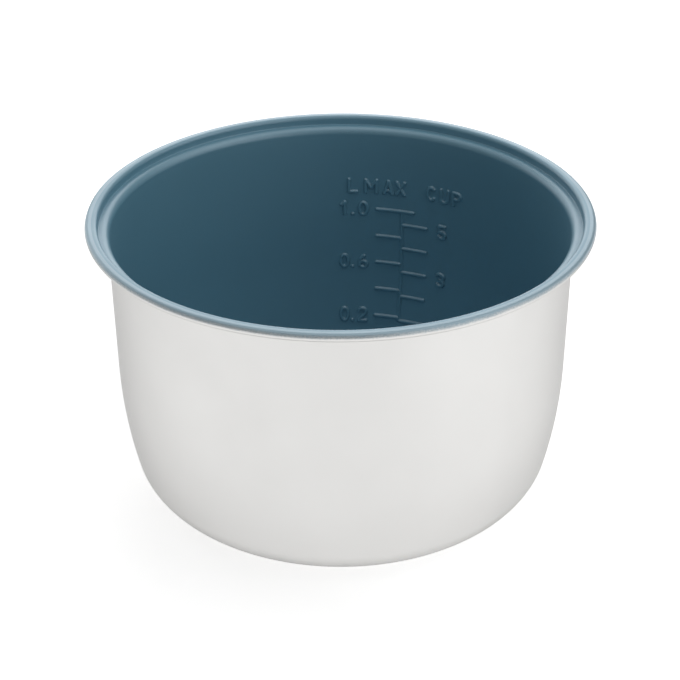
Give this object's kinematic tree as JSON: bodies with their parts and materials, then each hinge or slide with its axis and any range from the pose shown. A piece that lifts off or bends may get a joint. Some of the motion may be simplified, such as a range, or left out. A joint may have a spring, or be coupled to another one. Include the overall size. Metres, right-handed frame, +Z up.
{
  "type": "rice cooker inner pot",
  "caption": "Deep round aluminium cooking pot with a rolled lip, a lid ledge, a blue non-stick lining and a raised litre and cup scale inside.",
  "frame": {"origin": "centre of the pot's flat base, on the surface it stands on", "axes": "+Z up through the mouth; the raised scale is on the inside of the +Y wall, turned 18 degrees toward +X"},
  "size_m": [0.208, 0.208, 0.1226],
  "materials": {
    "bare_aluminium": "satin",
    "lining": "satin",
    "scale_marks": "satin"
  },
  "bodies": {
    "root": {"aluminium_pan": "bare_aluminium", "nonstick_lining": "lining", "litre_ticks": "scale_marks", "cup_ticks": "scale_marks", "scale_spine": "scale_marks", "litre_numbers": "scale_marks", "cup_numbers": "scale_marks", "max_heading": "scale_marks", "litre_heading": "scale_marks", "cup_heading": "scale_marks"}
  },
  "joints": []
}
